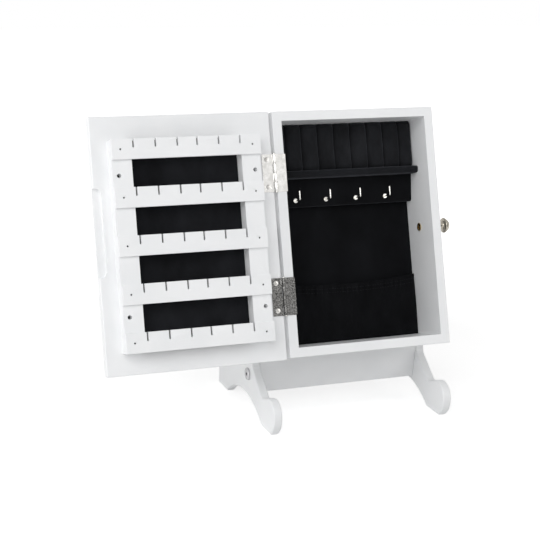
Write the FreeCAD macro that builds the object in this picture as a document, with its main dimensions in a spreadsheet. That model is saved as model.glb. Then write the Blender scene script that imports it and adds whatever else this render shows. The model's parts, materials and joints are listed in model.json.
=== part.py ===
import FreeCAD, Part
import math
import os
import re

from FreeCAD import Placement, Rotation, Vector

# Table-top jewelry cabinet with a mirror door, hung between two legs.
# Millimetres. X runs to the right, Y to the back, Z up. The origin is on the table, in the
# middle of the left leg's rear sole. Sub-parts are drawn about the middle of the tilting axis:
# the stand from the table up, the cabinet and its open door upright, then leaned back.

SIZES = {
    # stand
    "pivot_height": 225.5,
    "leg_board": 11,
    "leg_gap": 2.5,
    "leg_round": 2.2,
    "foot_back": 147,
    "foot_end_height": 27,
    "foot_end_round": 5,
    "rear_sole": 34,
    "sole_heel": 15,
    "sole_toe": 47,
    "toe_front": 59.2,
    "toe_front_height": 10,
    "toe_front_round": 24.5,
    "toe_crown": 58.8,
    "toe_crown_height": 49.2,
    "toe_crown_round": 19,
    "saddle": 15.5,
    "saddle_height": 33.6,
    "saddle_round": 10,
    "post_front": 21.5,
    "post_front_height": 61,
    "post_front_round": 14,
    "post_back": 62,
    "post_back_height": 57,
    "post_back_round": 40,
    "arch_rise": 22,
    "boss_radius": 10,
    "stretcher_width": 50,
    "stretcher_thickness": 18,
    "stretcher_front": 26,
    "stretcher_bottom": 26,
    "stretcher_lean": 8,
    "stretcher_round": 1,
    "bolt_head_radius": 7.5,
    "bolt_head_height": 2.4,
    "bolt_head_round": 0.8,
    "bolt_radius": 3,
    "bolt_length": 46,
    "bolt_rise": 22,
    "hex_key": 4,
    "hex_socket_depth": 3.4,
    "nut_radius": 5,
    "nut_length": 14,
    "nut_inset": 26,
    "nut_slot_width": 1.2,
    "nut_slot_depth": 0.7,
    "dowel_radius": 4,
    "dowel_length": 28,
    "dowel_in_leg": 8,
    "dowel_spacing": 30,
    # pivot
    "stud_radius": 3,
    "stud_recess": 0.8,
    "stud_end_rise": 1.5,
    "knob_radius": 9.2,
    "knob_neck_radius": 5.5,
    "knob_neck_length": 6.5,
    "knob_waist": 0.7,
    "knob_flare": 0.8,
    "knob_rim": 2.6,
    "knob_edge": 0.7,
    "knob_dome": 6,
    "knob_tip": 1,
    "spacer_radius": 8,
    "insert_radius": 4,
    "insert_flange_radius": 4.8,
    "insert_flange_height": 0.8,
    "run_gap": 0.3,
    "bore_gap": 0.1,
    "fit_gap": 0.05,
    # cabinet
    "lean_back": 16,
    "cabinet_width": 202,
    "cabinet_height": 280,
    "cabinet_depth": 70,
    "board": 11,
    "edge_round": 0.8,
    "back_board": 4,
    "lining": 2,
    # ring holder, hooks and pocket
    "cushion_depth": 28,
    "roll_pitch": 20.8,
    "roll_rise": 3.4,
    "cushion_draw": 2,
    "cushion_shoulder": 2.5,
    "cushion_end": 9,
    "shelf_drop": 55,
    "shelf_thickness": 8.5,
    "shelf_depth": 37.5,
    "hook_board_height": 32.5,
    "hook_board_top": 17.5,
    "hook_board_bottom": 12.5,
    "hook_board_round": 3,
    "hook_drop": 25,
    "hook_offset": -3.5,
    "hook_pitch": 38.5,
    "hook_wire": 0.95,
    "hook_reach": 16,
    "hook_tip": 10,
    "hook_bend": 1.8,
    "hook_flange_radius": 2.6,
    "hook_flange_height": 1.2,
    "hook_screw": 8,
    "hook_hole_spare": 1,
    "pocket_height": 70,
    "pocket_bulge": 10.5,
    "pocket_cloth": 1,
    "pocket_fold_depth": 1.2,
    "pocket_foot": 0.75,
    "pocket_belly": 1.06,
    "pocket_belly_height": 21,
    "soft_gap": 0.3,
    # door
    "door_width": 207,
    "door_drop": 1.6,
    "door_thickness": 13,
    "mirror_border": 20,
    "mirror_glass": 3,
    "mirror_recess": 3.3,
    "mirror_gap": 0.5,
    "pull_width": 8.5,
    "pull_length": 97,
    "pull_rise": 14,
    "pull_depth": 6,
    "pull_round": 7,
    "door_round": 1,
    # earring rack
    "rack_margin": 18.6,
    "rack_rise": 112.5,
    "stile_width": 22,
    "stile_depth": 17.5,
    "stile_screw_inset": 7,
    "stile_screw_rise": -2.5,
    "rack_screw_head": 2.4,
    "rack_screw_sunk": 12,
    "rack_screw_length": 13.5,
    "stile_screw_spacing": 152,
    "rail_length": 168.6,
    "rail_height": 22,
    "rail_thickness": 4.5,
    "rail_pitch": 52,
    "slot_width": 1.9,
    "slot_depth": 9.5,
    "slot_pitch": 24.6,
    "slot_middle": 22.4,
    "brad_radius": 1,
    "brad_inset": 9.5,
    "brad_length": 14,
    "brad_sunk": 2.5,
    "door_lining_thickness": 1,
    # hinges
    "hinge_length": 42.8,
    "hinge_spacing": 140,
    "hinge_axis_side": 2,
    "hinge_axis_front": 1.5,
    "knuckle_radius": 2,
    "leaf_thickness": 1,
    "leaf_width": 14.4,
    "leaf_flange": 16,
    "hinge_pin_radius": 0.95,
    "hinge_pin_head": 0.6,
    "hinge_pin_head_radius": 1.7,
    "hinge_screw_spacing": 31,
    "hinge_screw_inset": 9,
    # wood screws
    "screw_head_radius": 2.8,
    "screw_head_height": 1,
    "screw_crown": 0.4,
    "screw_radius": 1.2,
    "screw_length": 9,
    "cross_slot_width": 0.7,
    "cross_slot_depth": 0.8,
}

RAILS = 5
ROLLS = 9
HOOKS = 4
SLOTS = 6
KNUCKLES = 4
FOLDS = 12
TINY = 0.01
OVERSHOOT = 1
X_AXIS = Vector(1, 0, 0)
Y_AXIS = Vector(0, 1, 0)
Z_AXIS = Vector(0, 0, 1)
SIDE_ON = Rotation(Vector(1, 1, 1), 120)  # takes a plan to the side view

doc = FreeCAD.newDocument("jewelry_cabinet")
subparts = []


def make_sheet():
    """The driving sizes as a spreadsheet, and the same numbers for this script."""
    sheet = doc.addObject("Spreadsheet::Sheet", "Sizes")
    for row, (alias, value) in enumerate(SIZES.items(), start=1):
        sheet.set("A%d" % row, alias)
        sheet.set("B%d" % row, str(value))
        sheet.setAlias("B%d" % row, alias)
    doc.recompute()
    return {alias: float(getattr(sheet, alias)) for alias in SIZES}


s = make_sheet()


# ---------------------------------------------------------------- helpers

def bind(thing, prop, expression):
    """Tie a property to an expression in the sheet's aliases."""
    def to_cell(word):
        return "Sizes." + word.group(0) if word.group(0) in SIZES else word.group(0)
    thing.setExpression(prop, re.sub(r"[a-z_]+", to_cell, expression))


def turn(axis, degrees):
    return Rotation(axis, degrees)


def turned_to(axis):
    """Rotation that takes Z to the axis."""
    return Rotation(Z_AXIS, axis)


def at(x, y, z, rotation=None):
    return Placement(Vector(x, y, z), rotation or Rotation())


def block(name, corner, length, width, height):
    """A box from its low corner; the three sizes are expressions."""
    box = doc.addObject("Part::Box", name)
    bind(box, "Length", length)
    bind(box, "Width", width)
    bind(box, "Height", height)
    box.Placement = at(*corner)
    return box


def rod(name, start, axis, radius, height):
    """A cylinder from its start point along the axis; radius and height are expressions."""
    cylinder = doc.addObject("Part::Cylinder", name)
    bind(cylinder, "Radius", radius)
    bind(cylinder, "Height", height)
    cylinder.Placement = at(*start, turned_to(axis))
    return cylinder


def fuse(name, pieces):
    joined = doc.addObject("Part::MultiFuse", name)
    joined.Shapes = pieces
    joined.Refine = True
    return joined


def cut(name, base, tools):
    result = doc.addObject("Part::Cut", name)
    result.Base = base
    result.Tool = tools[0] if len(tools) == 1 else fuse(name + "_tools", tools)
    result.Refine = True
    return result


def common(name, first, second):
    result = doc.addObject("Part::Common", name)
    result.Base = first
    result.Tool = second
    return result


def solid_feature(name, shape):
    feature = doc.addObject("Part::Feature", name)
    feature.Shape = shape
    return feature


def keep(node, thing, frame):
    """Give a finished sub-part its name and put it where its frame says."""
    thing.Label = node
    thing.Placement = frame.multiply(thing.Placement)
    subparts.append((node, thing))
    return thing


def sketch_on(body, name, height):
    """A sketch parallel to the body's XY plane, at a height that is an expression."""
    sketch = body.newObject("Sketcher::SketchObject", name)
    plane = [f for f in body.Origin.OriginFeatures if f.Role == "XY_Plane"][0]
    sketch.AttachmentSupport = [(plane, "")]
    sketch.MapMode = "FlatFace"
    bind(sketch, "AttachmentOffset.Base.z", height)
    return sketch


def add_loop(sketch, edges):
    """Draw a closed outline of Part lines and arcs."""
    for edge in edges:
        sketch.addGeometry(edge, False)


def rectangle(left, bottom, right, top):
    corners = [(left, bottom), (right, bottom), (right, top), (left, top)]
    return polygon(corners)


def polygon(corners):
    points = [Vector(x, y, 0) for x, y in corners]
    return [Part.LineSegment(a, b) for a, b in zip(points, points[1:] + points[:1])]


def circle(x, y, radius):
    return [Part.Circle(Vector(x, y, 0), Z_AXIS, radius)]


def pad(body, sketch, length):
    feature = body.newObject("PartDesign::Pad", sketch.Name + "_pad")
    feature.Profile = sketch
    bind(feature, "Length", length)
    return feature


def pocket(body, sketch, depth, upward=False):
    """Cut down from the sketch, or upward into a body that lies above it."""
    feature = body.newObject("PartDesign::Pocket", sketch.Name + "_pocket")
    feature.Profile = sketch
    feature.Reversed = upward
    bind(feature, "Length", depth)
    return feature


def board_body(name, outline, thickness):
    """A board cut to an outline: a body whose pad stands on its XY plane."""
    body = doc.addObject("PartDesign::Body", name)
    sketch = sketch_on(body, name + "_outline", "0 mm")
    add_loop(sketch, outline)
    pad(body, sketch, thickness)
    return body


def board_pocket(body, name, loops, height, depth, upward=False):
    sketch = sketch_on(body, name, height)
    for loop in loops:
        add_loop(sketch, loop)
    return pocket(body, sketch, depth, upward)


def rounded_box(name, box, radius):
    """A box with all twelve edges rounded."""
    doc.recompute()
    fillet = doc.addObject("Part::Fillet", name)
    fillet.Base = box
    fillet.Edges = [(n + 1, radius, radius) for n in range(12)]
    return fillet


def round_edges(body, name, feature, picks, radius):
    """Round the edges of a body's last feature that the test picks."""
    doc.recompute()
    names = ["Edge%d" % (n + 1) for n, edge in enumerate(feature.Shape.Edges) if picks(edge)]
    fillet = body.newObject("PartDesign::Fillet", name)
    fillet.Base = (feature, names)
    bind(fillet, "Radius", radius)
    body.Tip = fillet
    return fillet


# ---------------------------------------------------------------- shared places

half_width = s["cabinet_width"] / 2
half_height = s["cabinet_height"] / 2
half_depth = s["cabinet_depth"] / 2
inner_side = half_width - s["board"]
inner_top = half_height - s["board"]
front = -half_depth
lining_face = half_depth - s["back_board"] - s["lining"]
leg_inner = half_width + s["leg_gap"]
leg_outer = leg_inner + s["leg_board"]

stand_frame = at(leg_inner + s["leg_board"] / 2, s["rear_sole"] / 2 - s["foot_back"], 0)
cabinet_frame = stand_frame.multiply(at(0, 0, s["pivot_height"], turn(X_AXIS, -s["lean_back"])))


# ---------------------------------------------------------------- stand

def arc(start, middle, end):
    return Part.Arc(*[Vector(p[0], p[1], 0) for p in (start, middle, end)])


def line(start, end):
    return Part.LineSegment(Vector(start[0], start[1], 0), Vector(end[0], end[1], 0))


def unit(start, end):
    """Direction from one point to another."""
    length = math.hypot(end[0] - start[0], end[1] - start[1])
    return (end[0] - start[0]) / length, (end[1] - start[1]) / length


def tangent_point(point, centre, radius, side):
    """Where the line from a point touches a circle; side is +1 or -1."""
    dx, dy = point[0] - centre[0], point[1] - centre[1]
    angle = math.atan2(dy, dx) + side * math.acos(radius / math.hypot(dx, dy))
    return centre[0] + radius * math.cos(angle), centre[1] + radius * math.sin(angle)


def rounded_corner(before, corner, after, radius):
    """Start, middle and end of the arc that rounds a corner between two straight lines."""
    u, v = unit(corner, before), unit(corner, after)
    half = math.acos(u[0] * v[0] + u[1] * v[1]) / 2
    reach = radius / math.tan(half)
    inward = radius / math.sin(half) - radius
    bisector = unit((0, 0), (u[0] + v[0], u[1] + v[1]))
    start = corner[0] + u[0] * reach, corner[1] + u[1] * reach
    end = corner[0] + v[0] * reach, corner[1] + v[1] * reach
    middle = corner[0] + bisector[0] * inward, corner[1] + bisector[1] * inward
    return start, middle, end


def rounded_line(start, corners, end):
    """A line that bends at corners, each given as a point and the radius that rounds it."""
    points = [start] + [corner for corner, radius in corners] + [end]
    edges = []
    for n, (corner, radius) in enumerate(corners, start=1):
        bend_start, middle, bend_end = rounded_corner(points[n - 1], corner, points[n + 1], radius)
        edges += [line(start, bend_start), arc(bend_start, middle, bend_end)]
        start = bend_end
    return edges + [line(start, end)]


def leg_outline():
    """Side view of a leg: first number to the back, second up, from below the pivot."""
    pivot = (0, s["pivot_height"])
    post_front = (s["post_front"], s["post_front_height"])
    post_back = (s["post_back"], s["post_back_height"])
    front_touch = tangent_point(post_front, pivot, s["boss_radius"], -1)
    back_touch = tangent_point(post_back, pivot, s["boss_radius"], 1)
    boss_top = (0, s["pivot_height"] + s["boss_radius"])
    foot_end = (s["foot_back"], s["foot_end_height"])
    rear_sole = (s["foot_back"] - s["rear_sole"], 0)
    heel = (-s["sole_heel"], 0)
    toe = (-s["sole_toe"], 0)
    arch_top = ((heel[0] + rear_sole[0]) / 2, s["arch_rise"])

    foot_front = rounded_line(toe, [
        ((-s["toe_front"], s["toe_front_height"]), s["toe_front_round"]),
        ((-s["toe_crown"], s["toe_crown_height"]), s["toe_crown_round"]),
        ((-s["saddle"], s["saddle_height"]), s["saddle_round"]),
        (post_front, s["post_front_round"])], front_touch)
    foot_back = rounded_line(back_touch, [
        (post_back, s["post_back_round"]), (foot_end, s["foot_end_round"])], (s["foot_back"], 0))
    return foot_front + [arc(front_touch, boss_top, back_touch)] + foot_back + [
        line((s["foot_back"], 0), rear_sole), arc(rear_sole, arch_top, heel), line(heel, toe)]


def stretcher_point(along, across):
    """A point in side view, along the stretcher's height and across its thickness."""
    lean = math.radians(s["stretcher_lean"])
    back = s["stretcher_front"] - along * math.sin(lean) + across * math.cos(lean)
    up = s["stretcher_bottom"] + along * math.cos(lean) + across * math.sin(lean)
    return back, up


def dowel_points():
    middle = s["bolt_rise"]
    across = s["stretcher_thickness"] / 2
    return [stretcher_point(middle + offset, across)
            for offset in (-s["dowel_spacing"] / 2, s["dowel_spacing"] / 2)]


def make_leg(node, side):
    """A leg: board outline with rounded edges, and holes for the pivot, bolt and dowels."""
    body = board_body(node, leg_outline(), "leg_board")
    feature = body.Tip
    flat = lambda edge: edge.BoundBox.ZMax - edge.BoundBox.ZMin < TINY
    feature = round_edges(body, node + "_round", feature, flat, "leg_round")
    bolt = stretcher_point(s["bolt_rise"], s["stretcher_thickness"] / 2)
    through = [circle(0, s["pivot_height"], s["stud_radius"] + s["bore_gap"]),
               circle(bolt[0], bolt[1], s["bolt_radius"] + s["fit_gap"])]
    board_pocket(body, node + "_holes", through, "leg_board", "leg_board")
    blind = [circle(y, z, s["dowel_radius"] + s["fit_gap"]) for y, z in dowel_points()]
    if side < 0:
        board_pocket(body, node + "_dowel_holes", blind, "leg_board", "dowel_in_leg")
    else:
        board_pocket(body, node + "_dowel_holes", blind, "0 mm", "dowel_in_leg", upward=True)
    start = leg_inner if side > 0 else -leg_outer
    body.Placement = at(start, 0, 0, SIDE_ON)
    return keep(node, body, stand_frame)


def make_stretcher():
    """The board between the legs, with holes in its ends and for the two cross nuts."""
    lean = turn(X_AXIS, s["stretcher_lean"])
    board = block("stretcher_board", (0, 0, 0), "cabinet_width + 2 * leg_gap",
                  "stretcher_thickness", "stretcher_width")
    base = rounded_box("stretcher_rounded", board, s["stretcher_round"])
    length = 2 * leg_inner
    middle = s["stretcher_thickness"] / 2
    tools = []
    for n, (start, axis, inset) in enumerate(((0, X_AXIS, s["nut_inset"]),
                                              (length, -X_AXIS, length - s["nut_inset"]))):
        tools.append(rod("stretcher_bolt_hole_%d" % n, (start, middle, s["bolt_rise"]), axis,
                         "bolt_radius + fit_gap", "nut_inset + 2 * nut_radius"))
        tools.append(rod("stretcher_nut_hole_%d" % n, (inset, s["stretcher_thickness"],
                         s["bolt_rise"]), -Y_AXIS, "nut_radius + fit_gap", "nut_length"))
        for offset in (-s["dowel_spacing"] / 2, s["dowel_spacing"] / 2):
            tools.append(rod("stretcher_dowel_hole_%d" % n, (start, middle,
                             s["bolt_rise"] + offset), axis, "dowel_radius + fit_gap",
                             "dowel_length - dowel_in_leg"))
    board = cut("stretcher_cut", base, tools)
    board.Placement = at(-leg_inner, s["stretcher_front"], s["stretcher_bottom"], lean)
    return keep("stretcher", board, stand_frame)


def make_stand_fasteners():
    """Two flat-headed hex bolts, their cross nuts, and four dowels."""
    y, z = stretcher_point(s["bolt_rise"], s["stretcher_thickness"] / 2)
    lean = math.radians(s["stretcher_lean"])
    into = Vector(0, -math.cos(lean), -math.sin(lean))
    bolts, nuts, dowels = [], [], []
    for side in (-1, 1):
        inward = X_AXIS * -side
        seat = Vector(side * leg_outer, y, z)
        head = Part.makeCylinder(s["bolt_head_radius"], s["bolt_head_height"],
                                 seat - inward * s["bolt_head_height"], inward)
        head = head.makeFillet(s["bolt_head_round"], [outer_rim(head, side)])
        shank = Part.makeCylinder(s["bolt_radius"], s["bolt_length"], seat, inward)
        corners = [Vector(0, s["hex_key"] / math.sqrt(3) * math.cos(math.radians(60 * k)),
                          s["hex_key"] / math.sqrt(3) * math.sin(math.radians(60 * k)))
                   for k in range(7)]
        socket_mouth = seat - inward * s["bolt_head_height"]
        wire = Part.makePolygon([socket_mouth + corner for corner in corners])
        socket = Part.Face(wire).extrude(inward * s["hex_socket_depth"])
        bolts.append(head.fuse(shank).cut(socket).removeSplitter())

        nut_y, nut_z = stretcher_point(s["bolt_rise"], s["stretcher_thickness"])
        nut_start = Vector(side * (leg_inner - s["nut_inset"]), nut_y, nut_z)
        nut = Part.makeCylinder(s["nut_radius"], s["nut_length"], nut_start, into)
        past_nut = s["leg_board"] + s["nut_inset"] + 2 * s["nut_radius"]
        bore = Part.makeCylinder(s["bolt_radius"] + s["fit_gap"], past_nut, seat, inward)
        slot = Part.makeBox(s["nut_slot_width"], 2 * s["nut_slot_depth"], 2 * s["nut_radius"])
        slot.Placement = at(nut_start.x, nut_y, nut_z, turn(X_AXIS, s["stretcher_lean"])) \
            .multiply(at(-s["nut_slot_width"] / 2, -s["nut_slot_depth"], -s["nut_radius"]))
        nuts.append(nut.cut(bore).cut(slot))

        for dowel_y, dowel_z in dowel_points():
            start = Vector(side * (leg_inner + s["dowel_in_leg"]), dowel_y, dowel_z)
            dowels.append(Part.makeCylinder(s["dowel_radius"], s["dowel_length"], start, inward))
    keep("stretcher_bolts", solid_feature("stretcher_bolts", Part.makeCompound(bolts)), stand_frame)
    keep("cross_nuts", solid_feature("cross_nuts", Part.makeCompound(nuts)), stand_frame)
    keep("stretcher_dowels", solid_feature("stretcher_dowels", Part.makeCompound(dowels)), stand_frame)


def outer_rim(head, side):
    """The circular edge of a head that lies furthest out on its side."""
    rims = [edge for edge in head.Edges if edge.Curve.TypeId == "Part::GeomCircle"]
    return max(rims, key=lambda edge: side * edge.CenterOfMass.x)


# ---------------------------------------------------------------- pivot

WAIST_PLACE = 0.6        # where the neck is thinnest, as a share of its length
SHOULDER = (0.78, 0.48)  # a point of the dome, as shares of its height and of the knob's radius
END_SHOULDER = (0.65, 0.75)  # the same for the stud's end


def make_knob(node, side):
    """A mushroom knob on a stud that passes the leg and ends in a dome in the cabinet's insert."""
    base = leg_outer + s["run_gap"]
    rim = base + s["knob_neck_length"]
    crown = rim + s["knob_rim"]
    tip = crown + s["knob_dome"]
    stud, neck, radius = s["stud_radius"], s["knob_neck_radius"], s["knob_radius"]
    flare = neck + s["knob_flare"]
    edge = radius - s["knob_edge"]
    waist = (base + WAIST_PLACE * s["knob_neck_length"], neck - s["knob_waist"])
    shoulder = (crown + SHOULDER[0] * s["knob_dome"], SHOULDER[1] * radius)
    stud_end = inner_side + s["stud_recess"]
    stud_top = stud_end - s["stud_end_rise"]
    end_bend = (stud_end - END_SHOULDER[0] * s["stud_end_rise"], END_SHOULDER[1] * stud)
    profile = [
        line((stud_top, 0), (stud_top, s["knob_tip"])),
        arc((stud_top, s["knob_tip"]), end_bend, (stud_end, stud)),
        line((stud_end, stud), (base, stud)),
        line((base, stud), (base, neck)),
        arc((base, neck), waist, (rim, flare)),
        line((rim, flare), (rim, edge)),
        arc((rim, edge), (rim + s["knob_rim"] / 2, radius), (crown, edge)),
        arc((crown, edge), shoulder, (tip, s["knob_tip"])),
        line((tip, s["knob_tip"]), (tip, 0)),
        line((tip, 0), (stud_top, 0)),
    ]
    body = doc.addObject("PartDesign::Body", node)
    sketch = sketch_on(body, node + "_profile", "0 mm")
    add_loop(sketch, profile)
    turned = body.newObject("PartDesign::Revolution", node + "_turned")
    turned.Profile = sketch
    turned.ReferenceAxis = (sketch, ["H_Axis"])
    turned.Angle = 360
    body.Placement = at(0, 0, 0, turn(Z_AXIS, 0 if side > 0 else 180))
    return keep(node, body, cabinet_frame)


def ring(name, start, axis, outer, inner, height):
    return cut(name, rod(name + "_outer", start, axis, outer, height),
               [rod(name + "_bore", start, axis, inner, height)])


def threaded_insert(name, side):
    """A tube through the wall with a flange on the wall's inner face."""
    inward = X_AXIS * -side
    outside = (side * half_width, 0, 0)
    solid = fuse(name + "_solid", [
        rod(name + "_tube", outside, inward, "insert_radius", "board"),
        rod(name + "_flange", (side * inner_side, 0, 0), inward, "insert_flange_radius",
            "insert_flange_height")])
    return cut(name, solid, [rod(name + "_bore", outside, inward, "stud_radius + fit_gap",
                                 "board + insert_flange_height")])


def make_pivot_rings():
    """Spacers between leg and cabinet, and threaded inserts in the cabinet's walls."""
    spacers = []
    inserts = []
    for side, name in ((-1, "left"), (1, "right")):
        start = (side * leg_inner, 0, s["pivot_height"])
        spacers.append(ring(name + "_spacer", start, X_AXIS * -side, "spacer_radius",
                            "stud_radius + bore_gap", "leg_gap - run_gap"))
        inserts.append(threaded_insert(name + "_insert", side))
    keep("pivot_spacers", group("pivot_spacers", spacers), stand_frame)
    keep("threaded_inserts", group("threaded_inserts", inserts), cabinet_frame)


def group(name, pieces):
    """Identical loose pieces kept as one node of separate solids."""
    compound = doc.addObject("Part::Compound", name)
    compound.Links = pieces
    return compound


# ---------------------------------------------------------------- cabinet case

def make_case():
    """Sides full height with top and bottom between them, all rounded to one outer edge."""
    shell_box = block("case_box", (-half_width, front, -half_height),
                      "cabinet_width", "cabinet_depth", "cabinet_height")
    for side, name in ((-1, "left_side"), (1, "right_side")):
        low = -half_width if side < 0 else inner_side
        panel = block(name + "_board", (low, front, -half_height), "board",
                      "cabinet_depth", "cabinet_height")
        holes = [rod(name + "_insert_hole", (low, 0, 0), X_AXIS, "insert_radius + fit_gap", "board")]
        if side < 0:
            holes += [rod("left_side_screw_hole_%d" % n, (-inner_side, y, z), -X_AXIS,
                          "screw_radius + fit_gap", "screw_length")
                      for n, (y, z) in enumerate(case_screw_places())]
        keep(name, rounded(name, cut(name + "_bored", panel, holes), shell_box), cabinet_frame)
    for name, low in (("top_panel", inner_top), ("bottom_panel", -half_height)):
        panel = block(name + "_board", (-inner_side, front, low), "cabinet_width - 2 * board",
                      "cabinet_depth", "board")
        keep(name, rounded(name, panel, shell_box), cabinet_frame)


def rounded(name, panel, shell_box):
    """The part of a panel inside the case's rounded outer box."""
    return common(name + "_panel", panel, rounded_box(name + "_envelope", shell_box, s["edge_round"]))


def make_back():
    """Hardboard back between the walls, with a velvet-covered card in front of it."""
    clear_width = "cabinet_width - 2 * board"
    clear_height = "cabinet_height - 2 * board"
    back = block("back_panel", (-inner_side, half_depth - s["back_board"], -inner_top),
                 clear_width, "back_board", clear_height)
    keep("back_panel", back, cabinet_frame)
    card = block("back_lining", (-inner_side, lining_face, -inner_top),
                 clear_width, "lining", clear_height)
    keep("back_lining", card, cabinet_frame)


# ---------------------------------------------------------------- ring holder, hooks, pocket

SHOULDER_DRAW = 0.3     # how much of the draw at the cushion's end is left at its shoulder
POCKET_SHOULDER = 0.35  # where the pocket's sides turn to the front, as a share of its reach
FOLD_BOW = 0.35         # how far a fold bows, as a share of its depth

shelf_top = inner_top - s["shelf_drop"]
shelf_bottom = shelf_top - s["shelf_thickness"]
shelf_front = lining_face - s["shelf_depth"]


def cushion_wire(z, inset):
    """Plan of the ring cushion at one height: a flat back and a row of rounded rolls."""
    side = inner_side - s["soft_gap"] - inset
    back = lining_face - s["soft_gap"]
    face = lining_face - s["cushion_depth"] + s["roll_rise"] + inset
    valleys = [(n - (ROLLS - 2) / 2) * s["roll_pitch"] for n in range(ROLLS - 1)]
    stops = [-side] + valleys + [side]
    edges = [Part.LineSegment(Vector(-side, back, z), Vector(-side, face, z))]
    for left, right in zip(stops, stops[1:]):
        edges.append(Part.Arc(Vector(left, face, z),
                              Vector((left + right) / 2, face - s["roll_rise"], z),
                              Vector(right, face, z)))
    edges.append(Part.LineSegment(Vector(side, face, z), Vector(side, back, z)))
    edges.append(Part.LineSegment(Vector(side, back, z), Vector(-side, back, z)))
    return Part.Wire([edge.toShape() for edge in edges])


def make_cushion():
    """Ring cushion: upright rolls whose ends draw in a little at the shelf and the top."""
    low = shelf_top + s["soft_gap"]
    high = inner_top - s["soft_gap"]
    end = [(0, s["cushion_draw"]), (s["cushion_shoulder"], SHOULDER_DRAW * s["cushion_draw"]),
           (s["cushion_end"], 0)]
    levels = [(low + rise, inset) for rise, inset in end]
    levels += [(high - drop, inset) for drop, inset in reversed(end)]
    shape = Part.makeLoft([cushion_wire(z, inset) for z, inset in levels], True, True)
    keep("ring_cushion", solid_feature("ring_cushion", shape), cabinet_frame)


def make_shelf():
    """Velvet-covered shelf under the cushion, with a round nose."""
    nose = s["shelf_thickness"] / 2
    outline = [
        line((lining_face, shelf_bottom), (shelf_front + nose, shelf_bottom)),
        arc((shelf_front + nose, shelf_bottom), (shelf_front, shelf_bottom + nose),
            (shelf_front + nose, shelf_top)),
        line((shelf_front + nose, shelf_top), (lining_face, shelf_top)),
        line((lining_face, shelf_top), (lining_face, shelf_bottom)),
    ]
    body = board_body("ring_shelf", outline, "cabinet_width - 2 * board")
    body.Placement = at(-inner_side, 0, 0, SIDE_ON)
    keep("ring_shelf", body, cabinet_frame)


def hook_places():
    z = shelf_bottom - s["hook_drop"]
    first = s["hook_offset"] - (HOOKS - 1) / 2 * s["hook_pitch"]
    down = s["hook_drop"] / s["hook_board_height"]
    depth = s["hook_board_top"] + down * (s["hook_board_bottom"] - s["hook_board_top"])
    return [(first + n * s["hook_pitch"], lining_face - depth, z) for n in range(HOOKS)]


def make_hook_board():
    """Leaning strip under the shelf that the hooks are screwed into."""
    low = shelf_bottom - s["hook_board_height"]
    top_face = (lining_face - s["hook_board_top"], shelf_bottom)
    low_face = (lining_face - s["hook_board_bottom"], low)
    start, bend, end = rounded_corner((lining_face, low), low_face, top_face, s["hook_board_round"])
    outline = [line((lining_face, shelf_bottom), (lining_face, low)), line((lining_face, low), start),
               arc(start, bend, end), line(end, top_face), line(top_face, (lining_face, shelf_bottom))]
    body = board_body("hook_board", outline, "cabinet_width - 2 * board")
    for n, (x, y, z) in enumerate(hook_places()):
        hole = body.newObject("PartDesign::SubtractiveCylinder", "hook_hole_%d" % n)
        bind(hole, "Radius", "hook_wire + fit_gap")
        bind(hole, "Height", "hook_screw + hook_hole_spare + hook_flange_height")
        hole.Placement = at(y - s["hook_flange_height"], z, x + inner_side, turned_to(X_AXIS))
    body.Placement = at(-inner_side, 0, 0, SIDE_ON)
    keep("hook_board", body, cabinet_frame)


def hook_shape(x, y, z):
    """A square-bend hook: screw end, flange against the board, wire out and up."""
    wire, bend = s["hook_wire"], s["hook_bend"]
    screw = Part.makeCylinder(wire, s["hook_screw"], Vector(x, y, z), Y_AXIS)
    lean = (s["hook_board_top"] - s["hook_board_bottom"]) / s["hook_board_height"]
    flange_back = y - s["hook_flange_radius"] * lean
    flange = Part.makeCylinder(s["hook_flange_radius"], s["hook_flange_height"],
                               Vector(x, flange_back - s["hook_flange_height"], z), Y_AXIS)
    tip_y = y - s["hook_reach"]
    path = Part.Wire([
        Part.LineSegment(Vector(x, y, z), Vector(x, tip_y + bend, z)).toShape(),
        Part.Arc(Vector(x, tip_y + bend, z),
                 Vector(x, tip_y + bend * (1 - math.sqrt(0.5)), z + bend * (1 - math.sqrt(0.5))),
                 Vector(x, tip_y, z + bend)).toShape(),
        Part.LineSegment(Vector(x, tip_y, z + bend), Vector(x, tip_y, z + s["hook_tip"])).toShape()])
    section = Part.Wire([Part.Circle(Vector(x, y, z), Y_AXIS, wire).toShape()])
    arm = path.makePipeShell([section], True, False)
    ball = Part.makeSphere(wire, Vector(x, tip_y, z + s["hook_tip"]))
    return screw.fuse([flange, arm, ball]).removeSplitter()


def make_hooks():
    hooks = [hook_shape(*place) for place in hook_places()]
    keep("jewelry_hooks", solid_feature("jewelry_hooks", Part.makeCompound(hooks)), cabinet_frame)


def pocket_wire(z, reach, side, back):
    """Plan of the pocket at one height: a flat back and a front gathered in folds."""
    depth_of_fold = s["pocket_fold_depth"]
    front_y = lining_face - reach
    step = 2 * side / FOLDS
    shoulder = front_y + reach * POCKET_SHOULDER
    edges = [Part.LineSegment(Vector(-side, back, z), Vector(-side, shoulder, z))]
    stops = [(-side, shoulder)]
    stops += [(-side + n * step, front_y + depth_of_fold * (n % 2)) for n in range(1, FOLDS)]
    stops += [(side, shoulder)]
    for n, (left, right) in enumerate(zip(stops, stops[1:])):
        bow = depth_of_fold * (FOLD_BOW if n % 2 else -FOLD_BOW)
        edges.append(Part.Arc(Vector(left[0], left[1], z),
                              Vector((left[0] + right[0]) / 2, (left[1] + right[1]) / 2 + bow, z),
                              Vector(right[0], right[1], z)))
    edges.append(Part.LineSegment(Vector(side, shoulder, z), Vector(side, back, z)))
    edges.append(Part.LineSegment(Vector(side, back, z), Vector(-side, back, z)))
    return Part.Wire([edge.toShape() for edge in edges])


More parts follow.
